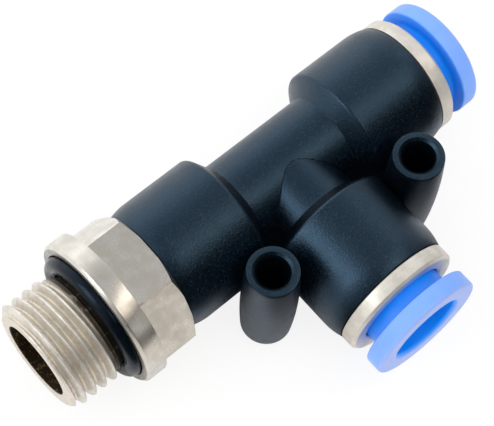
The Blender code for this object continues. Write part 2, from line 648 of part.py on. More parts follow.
def tube_seal(prefix, port, finish):
    """Rubber cup seal whose inner lip presses on the tube."""
    lip_root = SEAL_START + SEAL_LIP_LENGTH
    lip_inner = TUBE_RADIUS - SEAL_LIP_SQUEEZE
    base_inner = TUBE_RADIUS + TUBE_CLEARANCE
    groove_middle = (lip_inner + SEAL_OUTER_RADIUS) / 2.0
    profile = [
        (SEAL_START, lip_inner),
        (SEAL_START, lip_inner + SEAL_LIP_THICKNESS),
        (lip_root, groove_middle),
        (SEAL_START, SEAL_OUTER_RADIUS - SEAL_LIP_THICKNESS),
        (SEAL_START, SEAL_OUTER_RADIUS),
        (SEAL_END, SEAL_OUTER_RADIUS),
        (SEAL_END, base_inner + SEAL_BEVEL),
        (SEAL_END - SEAL_BEVEL, base_inner),
        (lip_root, base_inner),
        (SEAL_START + SEAL_LIP_THICKNESS, lip_inner),
    ]
    return turned(prefix + "_tube_seal", profile, INNER_FACETS, finish, port)


def build():
    clear_scene()
    black_plastic = material("black_plastic", (0.016, 0.02, 0.026), 0.5, 0.0)
    plated_brass = material("plated_brass", (0.62, 0.58, 0.52), 0.28, 1.0)
    blue_plastic = material("blue_plastic", (0.03, 0.2, 0.85), 0.35, 0.0)
    black_rubber = material("black_rubber", (0.015, 0.017, 0.02), 0.45, 0.0)
    spring_steel = material("spring_steel", (0.6, 0.6, 0.6), 0.3, 1.0)
    white_plastic = material("white_plastic", (0.7, 0.7, 0.66), 0.45, 0.0)

    root = axis_frame("crossing", None, 0.0)
    root.location = CROSSING * MM
    stud_port = axis_frame("stud_axis", root, 180.0)
    run_port = axis_frame("run_port_axis", root, 0.0)
    branch_port = axis_frame("branch_port_axis", root, -90.0)

    housing(root, branch_port, black_plastic)
    threaded_stud(stud_port, plated_brass)
    seal_ring(
        "face_seal_ring", FACE_SEAL_PLACE, FACE_SEAL_RADIUS, FACE_SEAL_SECTION_RADIUS,
        FACE_SEAL_FACETS, black_rubber, stud_port,
    )
    seal_ring(
        "stud_seal_ring", STUD_SEAL_PLACE, STUD_SEAL_RADIUS, STUD_SEAL_SECTION_RADIUS,
        STUD_SEAL_FACETS, black_rubber, stud_port,
    )
    stud_retaining_ring(stud_port, spring_steel)
    for prefix, port in (("run", run_port), ("branch", branch_port)):
        guide_ring(prefix, port, plated_brass)
        release_sleeve(prefix, port, blue_plastic)
        lock_claws(prefix, port, spring_steel)
        claw_spacer(prefix, port, white_plastic)
        tube_seal(prefix, port, black_rubber)


build()
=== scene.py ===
"""Look of the push-to-connect tee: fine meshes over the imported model, materials, light, camera.

Every turned piece is a profile of (distance along its port's axis from the crossing, radius) in
millimetres, spun about that axis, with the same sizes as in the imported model.
"""

import math

import bmesh
import bpy
import numpy as np
from mathutils import Matrix, Vector


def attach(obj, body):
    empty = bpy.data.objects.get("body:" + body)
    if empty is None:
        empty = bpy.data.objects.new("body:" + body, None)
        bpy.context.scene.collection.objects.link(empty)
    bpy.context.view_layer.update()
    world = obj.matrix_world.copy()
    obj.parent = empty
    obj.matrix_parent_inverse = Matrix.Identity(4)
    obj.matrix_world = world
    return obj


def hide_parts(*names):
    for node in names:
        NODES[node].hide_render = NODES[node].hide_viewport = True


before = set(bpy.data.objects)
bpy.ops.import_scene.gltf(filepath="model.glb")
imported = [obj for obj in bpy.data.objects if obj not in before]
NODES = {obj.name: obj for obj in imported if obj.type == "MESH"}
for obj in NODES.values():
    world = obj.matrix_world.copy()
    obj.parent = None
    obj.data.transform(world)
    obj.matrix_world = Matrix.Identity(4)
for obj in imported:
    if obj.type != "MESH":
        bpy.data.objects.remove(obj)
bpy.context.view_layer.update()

MM = 0.001
TURN = 2.0 * math.pi

# Fineness of the meshes
BODY_FACETS = 160
HOLLOW_FACETS = 96
BOSS_FACETS = 96
RING_FACETS = 192
STUD_FACETS = 192
THREAD_STEP = 0.036
LONGEST_STRIP = 0.9

# Housing
NECK_RADIUS = 5.4
BRANCH_NECK_RADIUS = 5.2
BARREL_RADIUS = 7.5
SHOULDER_START = 6.6
SHOULDER_LENGTH = 1.5
SHOULDER_ROUNDING = 0.5
CROWN_LENGTH = 2.2
CROWN_DROP = 0.36
PORT_END = 18.05
STUD_BARREL_END = 18.35
EDGE_CHAMFER = 0.12
BOSS_ALONG_RUN = 10.33
BOSS_FROM_RUN = 10.22
BOSS_HALF_HEIGHT = 6.96
BOSS_END_RADIUS = 2.85
BOSS_MIDDLE_RADIUS = 3.12
SCREW_HOLE_RADIUS = 1.7
SCREW_HOLE_CHAMFER = 0.5
SHADED_CHAMFER = 0.22
CREASE_RADIUS = 0.08
CREASE_STEPS = 144
CREASE_SIDES = 8
WEB_THICKNESS = 2.6
WEB_SINK = 0.8
RUN_PASSAGE_RADIUS = 3.2
BRANCH_PASSAGE_RADIUS = 3.0
TUBE_STOP = 5.5
SOCKET_RADIUS = 4.12
SEAL_POCKET_START = 10.6
SEAL_POCKET_RADIUS = 5.6
CARTRIDGE_POCKET_START = 14.0
CARTRIDGE_POCKET_RADIUS = 6.4
STUD_POCKET_START = 8.3
STUD_POCKET_RADIUS = 5.9
RETAINING_GROOVE_START = 13.85
RETAINING_GROOVE_END = 14.95
RETAINING_GROOVE_RADIUS = 6.35
ENTRY_CHAMFER = 0.3
OVERRUN = 1.0

# Threaded stud
SPIGOT_RADIUS = 5.8
SPIGOT_START = 8.45
SPIGOT_CHAMFER = 0.4
SEAL_GROOVE_START = 10.0
SEAL_GROOVE_END = 11.9
SEAL_GROOVE_RADIUS = 4.3
RING_GROOVE_START = 13.9
RING_GROOVE_END = 14.9
RING_GROOVE_RADIUS = 4.75
HEX_START = 18.5
HEX_BACK_RADIUS = 6.6
HEX_END = 23.4
HEX_FLAT_RADIUS = 7.4
HEX_BLANK_RADIUS = 8.48
HEX_CHAMFER_RADIUS = 7.5
HEX_ANGLE = 58.5
COLLAR_RADIUS = 8.89
SEAL_FACE = 25.86
COLLAR_CHAMFER = 0.35
FACE_GROOVE_RADIUS = 7.8
FACE_GROOVE_FLOOR = 24.86
FACE_SEAL_RADIUS = 6.7
FACE_SEAL_ALONG = 26.01
FACE_SEAL_SECTION_RADIUS = 1.0
RELIEF_RADIUS = 5.6
RUN_OUT_RADIUS = 6.0
THREAD_START = 27.1
FULL_THREAD_START = 27.75
THREAD_MAJOR = 6.58
THREAD_PITCH = 1.337
THREAD_ORIGIN = 28.306
THREAD_ROUNDING = 0.1373
THREAD_DEPTH = 0.6403
FLANK_ANGLE = math.radians(27.5)
THREAD_END_SLOPE = 1.8
STUD_NOSE = 33.7
NOSE_CHAMFER = 0.75
LIP = 0.03
BORE_RADIUS = 4.38
BORE_END = 20.5
BORE_CONE = 0.78
PASSAGE_RADIUS = 3.6
PASSAGE_MIDDLE = 14.0

# Rings and sleeves of the ports
GUIDE_SKIRT_START = 15.9
GUIDE_SKIRT_RADIUS = 6.13
GUIDE_SKIRT_HOLE = 5.75
GUIDE_BARB_END = 17.05
GUIDE_BARB_RADIUS = 6.25
GUIDE_SHELF = 18.6
GUIDE_START = 18.2
GUIDE_END = 20.0
GUIDE_RADIUS = 7.09
GUIDE_CHAMFER = 0.32
GUIDE_MOUTH_RADIUS = 5.1
GUIDE_MOUTH_CHAMFER = 0.22
SLEEVE_HOLE_RADIUS = 4.12
SLEEVE_NECK_RADIUS = 4.95
SLEEVE_NOSE = 17.0
SLEEVE_NOSE_RADIUS = 4.82
SLEEVE_MOUTH_CHAMFER = 0.4
BEAD_START = 17.55
BEAD_TOP = 18.05
BEAD_END = 18.45
BEAD_RADIUS = 5.45
FLANGE_BACK = 21.7
SLEEVE_FRONT = 23.8
FLANGE_RADIUS = 6.78
SLOT_WIDTH = 0.8
SLOT_END = 19.6
SLOTS = 4

# Linear colours, as one tone or as the two tones of a pattern
WHITE = (1.0, 1.0, 1.0)
BLACK_TONES = ((0.0001, 0.0006, 0.0015), (0.0007, 0.0036, 0.007))
# Painted shade on the webs and deep in the screw holes
PAINTED_SHADE_TONES = ((0.0004, 0.001, 0.0016), (0.002, 0.004, 0.006))
BLACK_GLOSS_TINT = (0.34, 0.62, 0.94, 1.0)
DUST = (0.018, 0.025, 0.033)
PLATING_TONES = ((0.79, 0.765, 0.72), (0.67, 0.64, 0.575))
TURNING_LINES = (0.64, 0.605, 0.555)
PLATING_SPECKS = (0.50, 0.445, 0.37)
THREAD_GROOVE = (0.74, 0.69, 0.61)
THREAD_STAIN = (0.50, 0.43, 0.33)
# Painted shade of the thread's run-out
RUN_OUT_SHADE = (0.045, 0.035, 0.025)
# Painted shade of the deep bore, with lighter flecks as painted glints
BORE_SHADE_TONES = ((0.03, 0.018, 0.01), (0.26, 0.17, 0.07))
# Blues of the sleeves: the pale flange and front tones and the lighter neck tone are painted light
# over the deep blue
DEEP_BLUES = ((0.002, 0.23, 0.94), (0.004, 0.27, 0.97))
LIT_NECK_BLUE = (0.17, 0.36, 0.95)
HOLE_BLUE = (0.004, 0.27, 0.95)
LIT_FLANGE_BLUES = ((0.175, 0.36, 0.92), (0.21, 0.40, 0.94))
LIT_FRONT_BLUE = (0.27, 0.39, 0.80)
RUBBER_TONES = ((0.001, 0.002, 0.004), (0.003, 0.005, 0.008))
RUBBER_GLOSS_TINT = (0.5, 0.7, 1.0, 1.0)
STEEL_TONES = ((0.56, 0.56, 0.57), (0.48, 0.48, 0.5))
NATURAL_TONES = ((0.72, 0.71, 0.67), (0.66, 0.65, 0.6))
PLASTIC_IOR = 1.5

# Photographed view: angles in degrees, place in mm, focal length and picture width in pixels
CAMERA_TURN = -46.686
CAMERA_HEIGHT = 65.336
CAMERA_ROLL = 6.191
CAMERA_PLACE = (-58.548, -48.327, 181.694)
FOCAL_LENGTH = 1753.9
PICTURE_WIDTH = 494.0
SENSOR_WIDTH = 36.0

# Studio: the world is brighter to the back than above, and dark to the front. For glossy rays the
# floor has the tone FLOOR_GLOSS, and in front of the object it is painted darker, a painted shade
# seen only in reflections. The camera sees WHITE_SHARE of plain white in it.
ZENITH_LEVEL = 0.52
BACK_LEVEL = 1.4
FRONT_SHARE = 0.06
FLOOR_GLOSS = 0.88
GLOSS_SHADE_DEPTH = 0.84
GLOSS_SHADE_EDGE = (-0.006, -0.016)
WHITE_SHARE = 0.85
FLOOR_HALF = 1.5
FLOOR_DROP = 0.00003
REFLECTOR_PLACE = (0.0, -0.051, -0.00002)
WARM_LIGHT = (1.0, 0.91, 0.80)
CREAM_LIGHT = (1.0, 0.95, 0.89)

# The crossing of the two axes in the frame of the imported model, and the frame of each port
CROSSING = Vector((4.95, 7.455, 8.89)) * MM
RUN = Matrix.Translation(CROSSING)
STUD = RUN @ Matrix.Rotation(math.radians(180.0), 4, "Z")
BRANCH = RUN @ Matrix.Rotation(math.radians(-90.0), 4, "Z")


# ---------------------------------------------------------------- profiles and meshes

def rounded(corners, steps):
    """A closed outline whose corners (along, radius, rounding) are round where the third is given."""
    points = []
    count = len(corners)
    for index, corner in enumerate(corners):
        here = Vector(corner[:2])
        if len(corner) < 3:
            points.append((here.x, here.y))
            continue
        back = Vector(corners[index - 1][:2]) - here
        ahead = Vector(corners[(index + 1) % count][:2]) - here
        half = back.angle(ahead) / 2.0
        reach = min(corner[2] / math.tan(half), 0.45 * back.length, 0.45 * ahead.length)
        radius = reach * math.tan(half)
        inward = (back.normalized() + ahead.normalized()).normalized()
        middle = here + inward * (radius / math.sin(half))
        first = here + back.normalized() * reach - middle
        last = here + ahead.normalized() * reach - middle
        sweep = first.angle(last)
        for step in range(steps + 1):
            part = step / steps
            point = first * math.sin((1.0 - part) * sweep) + last * math.sin(part * sweep)
            point = middle + point / math.sin(sweep)
            points.append((point.x, point.y))
    return points


def arc(centre, radius, start, end, steps):
    angles = [math.radians(start + (end - start) * step / steps) for step in range(steps + 1)]
    return [(centre[0] + radius * math.cos(a), centre[1] + radius * math.sin(a)) for a in angles]


def divided(profile):
    """The same outline with its long stretches cut into short ones."""
    points = []
    for index, start in enumerate(profile):
        end = profile[(index + 1) % len(profile)]
        pieces = max(1, math.ceil(math.dist(start, end) / LONGEST_STRIP))
        for step in range(pieces):
            part = step / pieces
            points.append(tuple(a + (b - a) * part for a, b in zip(start, end)))
    return points


def mirrored(profile):
    """The same outline on the other side of the crossing."""
    return [(-along, radius) for along, radius in reversed(profile)]


def shaded(mesh, sharp=30.0):
    """Smooth shading with sharp edges from an angle in degrees."""
    mesh.shade_smooth()
    mesh.set_sharp_from_angle(angle=math.radians(sharp))


def object_from(name, bm, place, finish=None, sharp=30.0):
    bmesh.ops.recalc_face_normals(bm, faces=bm.faces[:])
    mesh = bpy.data.meshes.new(name)
    bm.to_mesh(mesh)
    bm.free()
    mesh.transform(place)
    shaded(mesh, sharp)
    made = bpy.data.objects.new(name, mesh)
    bpy.context.scene.collection.objects.link(made)
    if finish is not None:
        mesh.materials.append(finish)
    return made


def rings(name, loops, angles, place, finish=None, sharp=30.0):
    """A closed surface of loops round the axis, each with one radius or one for each angle."""
    bm = bmesh.new()
    rows = []
    for along, radius in loops:
        on_axis = np.max(radius) == 0.0
        around = angles[:1] if on_axis else angles
        across = np.stack([radius * np.cos(around), radius * np.sin(around)], 1)
        corners = np.insert(across, 0, along, axis=1) * MM
        row = [bm.verts.new(corner) for corner in corners.tolist()]
        rows.append(row * len(angles) if on_axis else row)
    for row, after in zip(rows, rows[1:] + rows[:1]):
        for corners in zip(row, after, after[1:] + after[:1], row[1:] + row[:1]):
            corners = tuple(dict.fromkeys(corners))
            if len(corners) > 2:
                bm.faces.new(corners)
    return object_from(name, bm, place, finish, sharp)


def spun(name, profile, facets, place, finish=None):
    """A solid whose closed outline of (along, radius) is spun about the port's axis."""
    return rings(name, profile, np.arange(facets) * TURN / facets, place, finish)


def boxes(name, spans, place):
    """Separate boxes in one mesh, each by its opposite corners in mm and its turn about X."""
    bm = bmesh.new()
    for low, high, turn in spans:
        middle = (Vector(low) + Vector(high)) * 0.5 * MM
        size = (Vector(high) - Vector(low)) * MM
        at = Matrix.Rotation(math.radians(turn), 4, "X") @ Matrix.Translation(middle)
        bmesh.ops.create_cube(bm, size=1.0, matrix=at @ Matrix.Diagonal((*size, 1.0)))
    return object_from(name, bm, place)


def combined(obj, steps):
    """Adds or cuts the other objects in turn and removes them. Their finish stays on the cut."""
    for other, operation in steps:
        modifier = obj.modifiers.new(other.name, "BOOLEAN")
        modifier.material_mode = "TRANSFER" if other.data.materials else "INDEX"
        modifier.object = other
        modifier.operation = operation
        modifier.solver = "EXACT"
    depsgraph = bpy.context.evaluated_depsgraph_get()
    mesh = bpy.data.meshes.new_from_object(obj.evaluated_get(depsgraph), depsgraph=depsgraph)
    obj.modifiers.clear()
    old = obj.data
    obj.data = mesh
    bpy.data.meshes.remove(old)
    for other, _ in steps:
        mesh_of_other = other.data
        bpy.data.objects.remove(other)
        bpy.data.meshes.remove(mesh_of_other)
    shaded(mesh)
    return obj


# ---------------------------------------------------------------- materials

class Nodes:
    """Short ways to build a node tree."""

    def __init__(self, tree):
        self.tree = tree

    def join(self, socket, value):
        if isinstance(value, bpy.types.NodeSocket):
            self.tree.links.new(value, socket)
        else:
            socket.default_value = value

    def add(self, kind, inputs=None, **settings):
        made = self.tree.nodes.new(kind)
        for key, value in settings.items():
            setattr(made, key, value)
        for socket, value in (inputs or {}).items():
            self.join(made.inputs[socket], value)
        return made

    def math(self, operation, first, second, clamp=False):
        inputs = {0: first, 1: second}
        return self.add("ShaderNodeMath", inputs, operation=operation, use_clamp=clamp).outputs[0]

    def spread(self, value, low, high, to_low=0.0, to_high=1.0):
        """The value's place between low and high, eased, on a scale from to_low to to_high."""
        made = self.add("ShaderNodeMapRange", {
            "Value": value, "From Min": low, "From Max": high, "To Min": to_low, "To Max": to_high,
        }, interpolation_type="SMOOTHSTEP")
        return made.outputs[0]


class Finish(Nodes):
    """A procedural material, built node by node. Its texture coordinates are millimetres."""

    def __init__(self, name, **constants):
        self.material = bpy.data.materials.new(name)
        self.material.use_nodes = True
        super().__init__(self.material.node_tree)
        self.shader = self.tree.nodes["Principled BSDF"]
        for socket, value in constants.items():
            self.shader.inputs[socket.replace("_", " ")].default_value = value
        place = self.add("ShaderNodeTexCoord").outputs["Object"]
        self.mm = self.vector("SCALE", place, scale=1000.0)

    def vector(self, operation, first, second=None, scale=None):
        inputs = {0: first}
        if second is not None:
            inputs[1] = second
        if scale is not None:
            inputs["Scale"] = scale
        made = self.add("ShaderNodeVectorMath", inputs, operation=operation)
        return made.outputs["Value" if operation in ("LENGTH", "DOT_PRODUCT") else "Vector"]

    def noise(self, scale, detail=2.0, roughness=0.5, at=None):
        made = self.add("ShaderNodeTexNoise", {
            "Vector": self.mm if at is None else at, "Scale": scale,
            "Detail": detail, "Roughness": roughness,
        })
        return made.outputs[0]

    def mix(self, factor, first, second):
        made = self.add("ShaderNodeMix", {0: factor}, data_type="RGBA")
        for index, colour in ((6, first), (7, second)):
            value = (*colour, 1.0) if isinstance(colour, tuple) else colour
            self.join(made.inputs[index], value)
        return made.outputs[2]

    def bump(self, height, distance, under=None):
        """Relief of the given height in mm, on top of an earlier one."""
        inputs = {"Height": height, "Distance": distance * MM, "Strength": 1.0}
        if under is not None:
            inputs["Normal"] = under
        return self.add("ShaderNodeBump", inputs).outputs[0]

    def finish(self, colour, roughness, normal):
        for socket, value in (("Base Color", colour), ("Roughness", roughness), ("Normal", normal)):
            self.tree.links.new(value, self.shader.inputs[socket])
        return self.material

    def along_and_radius(self, place):
        """Distance along a port's axis, and from it, in millimetres."""
        moved = self.vector("SUBTRACT", self.mm, tuple(CROSSING / MM))
        axis = place.to_3x3() @ Vector((1.0, 0.0, 0.0))
        along = self.vector("DOT_PRODUCT", moved, tuple(axis))
        across = self.vector("SUBTRACT", moved, self.vector("SCALE", tuple(axis), scale=along))
        return along, self.vector("LENGTH", across)


def black_plastic(name, gloss):
    """Moulded plastic with a fine grain, a little dust and a bluish gloss."""
    made = Finish(
        name, IOR=PLASTIC_IOR, Specular_IOR_Level=gloss, Specular_Tint=BLACK_GLOSS_TINT,
    )
    grain = made.noise(5.0, 3.0, 0.65)
    waves = made.noise(0.35, 1.0)
    patches = made.noise(0.9, 3.0, 0.6)
    dust = made.spread(made.noise(5.0, 4.0, 0.7), 0.54, 0.70)
    colour = made.mix(made.spread(grain, 0.35, 0.65), *BLACK_TONES)
    colour = made.mix(dust, colour, DUST)
    roughness = made.spread(patches, 0.3, 0.7, 0.29, 0.35)
    normal = made.bump(waves, 0.012)
    normal = made.bump(grain, 0.036, normal)
    return made.finish(colour, roughness, normal)


def painted_shade_plastic():
    """Painted shade: the same plastic, matt and without gloss, deep in the screw holes and on the
    webs between the barrels.
    """
    made = Finish("painted_shade_black_plastic", IOR=PLASTIC_IOR, Specular_IOR_Level=0.0)
    grain = made.noise(5.0, 3.0, 0.65)
    colour = made.mix(grain, *PAINTED_SHADE_TONES)
    roughness = made.spread(grain, 0.3, 0.7, 0.7, 0.8)
    return made.finish(colour, roughness, made.bump(grain, 0.02))


def plated(name, place, metallic=1.0, dull=0.0, thread=False):
    """Nickel plating with turning lines and specks, made duller by less metal and more roughness.

    A thread is half matt and stained; its run-out and its bore are painted dark as shade, the bore
    rough.
    """
    made = Finish(name, Metallic=metallic)
    along, radius = made.along_and_radius(place)
    line_place = made.add("ShaderNodeCombineXYZ", {0: along, 1: radius}).outputs[0]
    lines = made.noise(7.0, 3.0, 0.7, line_place)
    cloud = made.noise(0.6, 3.0, 0.55)
    speck = made.spread(made.noise(5.0, 4.0, 0.7), 0.6, 0.78)
    colour = made.mix(made.spread(cloud, 0.35, 0.65), *PLATING_TONES)
    colour = made.mix(made.spread(lines, 0.42, 0.62, 0.0, 0.5), colour, TURNING_LINES)
    colour = made.mix(made.math("MULTIPLY", speck, 0.7), colour, PLATING_SPECKS)
    rough = made.spread(cloud, 0.3, 0.7, 0.26 + dull, 0.34 + dull)
    rough = made.math("ADD", rough, made.math("MULTIPLY", speck, 0.06))
    if thread:
        face = (SEAL_FACE - 0.1, SEAL_FACE + 0.1)
        in_thread = made.spread(along, *face)
        groove = made.math("MULTIPLY", made.spread(radius, 6.4, 5.75), in_thread)
        # Painted shade: the deep bore is painted near black, with lighter brown flecks as painted
        # glints
        bore = made.spread(radius, BORE_RADIUS + 0.12, BORE_RADIUS + 0.02)
        # Painted shade: the run-out beside the seal is painted dark, in patches
        run_out = made.spread(along, FULL_THREAD_START + 0.3, FULL_THREAD_START - 0.1)
        run_out = made.math("MULTIPLY", in_thread, run_out)
        patchy = made.spread(made.noise(1.1, 3.0, 0.6), 0.68, 0.56, 0.8, 1.0)
        run_out = made.math("MULTIPLY", run_out, patchy)
        stain = made.spread(made.noise(1.8, 4.0, 0.65), 0.48, 0.66, 0.0, 0.45)
        stain = made.math("MULTIPLY", stain, in_thread)
        flecks = made.spread(made.noise(3.0, 4.0, 0.7), 0.54, 0.68)
        colour = made.mix(groove, colour, THREAD_GROOVE)
        colour = made.mix(stain, colour, THREAD_STAIN)
        colour = made.mix(run_out, colour, RUN_OUT_SHADE)
        colour = made.mix(bore, colour, made.mix(flecks, *BORE_SHADE_TONES))
        rough = made.math("ADD", rough, made.math("MULTIPLY", in_thread, 0.1))
        rough = made.math("ADD", rough, made.math("MULTIPLY", bore, 0.25), clamp=True)
        made.join(made.shader.inputs["Metallic"], made.spread(along, *face, 1.0, 0.78))
    normal = made.bump(made.noise(0.5, 1.0), 0.006)
    normal = made.bump(lines, 0.006, normal)
    return made.finish(colour, rough, normal)


def blue_plastic(name, place, neck_light):
    """Painted light: pale flange and front, deep neck and hole; the last argument lightens the neck
    toward the flange.
    """
    made = Finish(name, IOR=PLASTIC_IOR, Specular_IOR_Level=0.25)
    along, radius = made.along_and_radius(place)
    # Painted light: where the flange, its front face and the neck toward the flange are painted
    # lighter
    in_flange = made.spread(along, FLANGE_BACK - 0.15, FLANGE_BACK + 0.25)
    outward = made.spread(radius, SLEEVE_NECK_RADIUS + 0.2, FLANGE_RADIUS - 0.2)
    past_hole = made.spread(radius, SLEEVE_HOLE_RADIUS + 0.05, SLEEVE_HOLE_RADIUS + 0.4)
    front = made.spread(along, SLEEVE_FRONT - 0.5, SLEEVE_FRONT - 0.05)
    front = made.math("MULTIPLY", front, past_hole)
    pale = made.math("MAXIMUM", made.math("MULTIPLY", in_flange, outward), front)
    near_flange = made.spread(along, GUIDE_END + 0.2, FLANGE_BACK + 0.1, 0.0, neck_light)
    in_hole = made.spread(radius, SLEEVE_HOLE_RADIUS + 0.4, SLEEVE_HOLE_RADIUS + 0.05)
    patches = made.noise(0.9, 3.0, 0.6)
    deep = made.mix(patches, *DEEP_BLUES)
    deep = made.mix(near_flange, deep, LIT_NECK_BLUE)
    deep = made.mix(in_hole, deep, HOLE_BLUE)
    light = made.mix(patches, *LIT_FLANGE_BLUES)
    light = made.mix(front, light, LIT_FRONT_BLUE)
    colour = made.mix(pale, deep, light)
    roughness = made.spread(patches, 0.3, 0.7, 0.34, 0.42)
    normal = made.bump(made.noise(0.6, 1.0), 0.012)
    normal = made.bump(made.noise(7.0, 2.0), 0.002, normal)
    return made.finish(colour, roughness, normal)


def patched(name, scale, tones, roughness, relief, **constants):
    """Two tones and a range of roughness in patches, with a relief of (scale, height in mm)."""
    made = Finish(name, **constants)
    patches = made.noise(scale, 3.0, 0.6)
    relief_scale, height = relief
    return made.finish(
        made.mix(patches, *tones),
        made.spread(patches, 0.3, 0.7, *roughness),
        made.bump(made.noise(relief_scale, 2.0), height),
    )


# ---------------------------------------------------------------- housing

def barrel_outline(neck_radius, end):
    """Outside of a barrel, from its neck to its end face."""
    slope = math.degrees(math.atan2(BARREL_RADIUS - neck_radius, SHOULDER_LENGTH))
    tangent = SHOULDER_ROUNDING * math.tan(math.radians(slope / 2.0))
    centre = (SHOULDER_START + SHOULDER_LENGTH + tangent, BARREL_RADIUS - SHOULDER_ROUNDING)
    outline = [(SHOULDER_START - 0.12, neck_radius), (SHOULDER_START + 0.06, neck_radius + 0.04)]
    outline += arc(centre, SHOULDER_ROUNDING, 90.0 + slope, 90.0, 8)
    sweep = (CROWN_LENGTH ** 2 + CROWN_DROP ** 2) / (2.0 * CROWN_DROP)
    crown_centre = (end - EDGE_CHAMFER - CROWN_LENGTH, BARREL_RADIUS - sweep)
    tilt = math.degrees(math.asin(CROWN_LENGTH / sweep))
    outline += arc(crown_centre, sweep, 90.0, 90.0 - tilt, 10)
    edge = BARREL_RADIUS - CROWN_DROP
    outline += [(end - 0.04, edge - 0.03), (end, edge - EDGE_CHAMFER), (end, 0.0)]
    return outline


def port_hollow(passage_radius):
    """The socket, the seal's pocket and the cartridge's pocket of a port."""
    beyond = PORT_END + OVERRUN
    return [
        (TUBE_STOP, passage_radius),
        (TUBE_STOP, SOCKET_RADIUS),
        (SEAL_POCKET_START, SOCKET_RADIUS),
        (SEAL_POCKET_START, SEAL_POCKET_RADIUS),
        (CARTRIDGE_POCKET_START, SEAL_POCKET_RADIUS),
        (CARTRIDGE_POCKET_START, CARTRIDGE_POCKET_RADIUS),
        (PORT_END - ENTRY_CHAMFER, CARTRIDGE_POCKET_RADIUS),
        (beyond, CARTRIDGE_POCKET_RADIUS + ENTRY_CHAMFER + OVERRUN),
        (beyond, 0.0),
    ]


def stud_hollow():
    """The stud's pocket, with the groove of its retaining ring."""
    beyond = STUD_BARREL_END + OVERRUN
    return [
        (STUD_POCKET_START, RUN_PASSAGE_RADIUS),
        (STUD_POCKET_START, STUD_POCKET_RADIUS),
        (RETAINING_GROOVE_START, STUD_POCKET_RADIUS),
        (RETAINING_GROOVE_START, RETAINING_GROOVE_RADIUS),
        (RETAINING_GROOVE_END, RETAINING_GROOVE_RADIUS),
        (RETAINING_GROOVE_END, STUD_POCKET_RADIUS),
        (STUD_BARREL_END - ENTRY_CHAMFER, STUD_POCKET_RADIUS),
        (beyond, STUD_POCKET_RADIUS + ENTRY_CHAMFER + OVERRUN),
        (beyond, 0.0),
    ]


def boss_outline():
    """A slightly swollen post, widest at its middle."""
    swell = BOSS_MIDDLE_RADIUS - BOSS_END_RADIUS
    side = []
    for step in range(-12, 13):
        height = (BOSS_HALF_HEIGHT - EDGE_CHAMFER) * step / 12.0
        side.append((height, BOSS_MIDDLE_RADIUS - swell * (step / 12.0) ** 2))
    rim = [
        (BOSS_HALF_HEIGHT - 0.03, BOSS_END_RADIUS - 0.04),
        (BOSS_HALF_HEIGHT, BOSS_END_RADIUS - 0.14),
        (BOSS_HALF_HEIGHT, 0.0),
    ]
    return mirrored(rim) + side + rim


def screw_hole_outline():
    """The hole and the deep part of its chamfers, which are in shade."""
    beyond = BOSS_HALF_HEIGHT + OVERRUN
    along = BOSS_HALF_HEIGHT - SCREW_HOLE_CHAMFER
    radius = SCREW_HOLE_RADIUS + SHADED_CHAMFER
    upper = [
        (along, SCREW_HOLE_RADIUS),
        (along + SHADED_CHAMFER, radius),
        (beyond, radius),
        (beyond, 0.0),
    ]
    return mirrored(upper) + upper


def chamfer_rim_outline():
    """The rest of the upper chamfer."""
    along = BOSS_HALF_HEIGHT - SCREW_HOLE_CHAMFER + SHADED_CHAMFER
    radius = SCREW_HOLE_RADIUS + SHADED_CHAMFER
    beyond = BOSS_HALF_HEIGHT + OVERRUN
    return [
        (along - 0.1, 0.0),
        (along - 0.1, radius - 0.5),
        (along, radius),
        (beyond, SCREW_HOLE_RADIUS + SCREW_HOLE_CHAMFER + OVERRUN),
        (beyond, 0.0),
    ]


def crease_cutter():
    """A hair-thin closed tube along the curve where the two necks meet."""
    turns = np.arange(CREASE_STEPS) * TURN / CREASE_STEPS
    outward = np.stack([np.cos(turns), np.zeros_like(turns), np.sin(turns)], 1)
    height = BRANCH_NECK_RADIUS * np.sin(turns)
    curve = BRANCH_NECK_RADIUS * outward
    curve[:, 1] = -np.sqrt(NECK_RADIUS ** 2 - height ** 2)
    tangent = np.roll(curve, -1, 0) - np.roll(curve, 1, 0)
    tangent /= np.linalg.norm(tangent, axis=1)[:, None]
    across = outward - (outward * tangent).sum(1)[:, None] * tangent
    across /= np.linalg.norm(across, axis=1)[:, None]
    beside = np.cross(tangent, across)
    bm = bmesh.new()
    rows = []
    for angle in np.arange(CREASE_SIDES) * TURN / CREASE_SIDES:
        points = curve + CREASE_RADIUS * (math.cos(angle) * across + math.sin(angle) * beside)
        rows.append([bm.verts.new(Vector(point) * MM) for point in points])
    for row, after in zip(rows, rows[1:] + rows[:1]):
        for index in range(CREASE_STEPS):
            turned = (index + 1) % CREASE_STEPS
            bm.faces.new((row[index], after[index], after[turned], row[turned]))
    return object_from("neck_crease", bm, RUN)


def shade_shoulders(body, finish):
    """Paints shade on the sloping shoulders of the stud's and the branch's barrel with a finish of
    less gloss.
    """
    body.data.materials.append(finish)
    slot = len(body.data.materials) - 1
    for place, neck_radius in ((STUD, NECK_RADIUS), (BRANCH, BRANCH_NECK_RADIUS)):
        local = place.inverted()
        turn = local.to_3x3()
        for face in body.data.polygons:
            along, y, z = (local @ face.center) / MM
            within = SHOULDER_START < along < SHOULDER_START + SHOULDER_LENGTH
            within = within and neck_radius + 0.1 < math.hypot(y, z) < BARREL_RADIUS - 0.25
            if within and (turn @ face.normal).x < -0.3:
                face.material_index = slot


